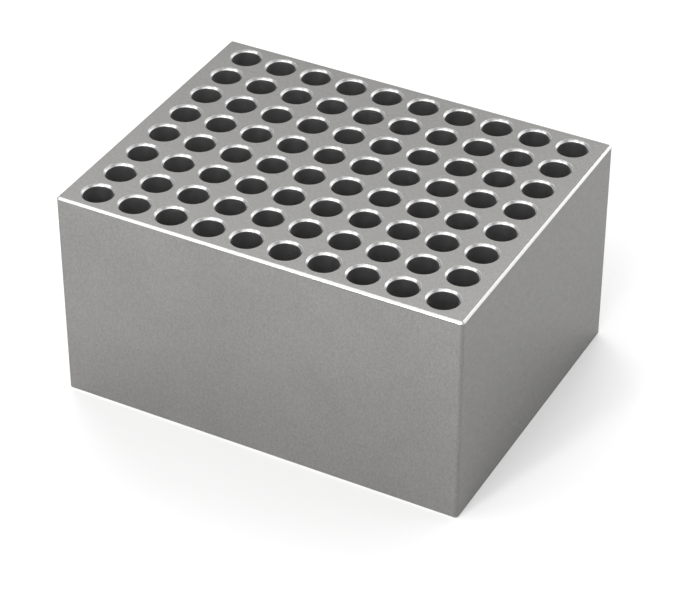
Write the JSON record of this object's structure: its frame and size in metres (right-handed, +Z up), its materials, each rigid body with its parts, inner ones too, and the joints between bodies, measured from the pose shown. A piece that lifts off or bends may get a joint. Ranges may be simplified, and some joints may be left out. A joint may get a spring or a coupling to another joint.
{
  "type": "dry block heater tube block",
  "caption": "Solid rectangular aluminium heating block with a square grid of straight blind wells with chamfered mouths, for small sample tubes.",
  "frame": {"origin": "centre of the underside", "axes": "+Z up, +X along the long side, -Y out of the front"},
  "size_m": [0.0952, 0.074, 0.0505],
  "materials": {
    "machined_aluminium": "fine satin, with bright machined chamfers"
  },
  "bodies": {
    "root": {"heating_block": "machined_aluminium"}
  },
  "joints": []
}
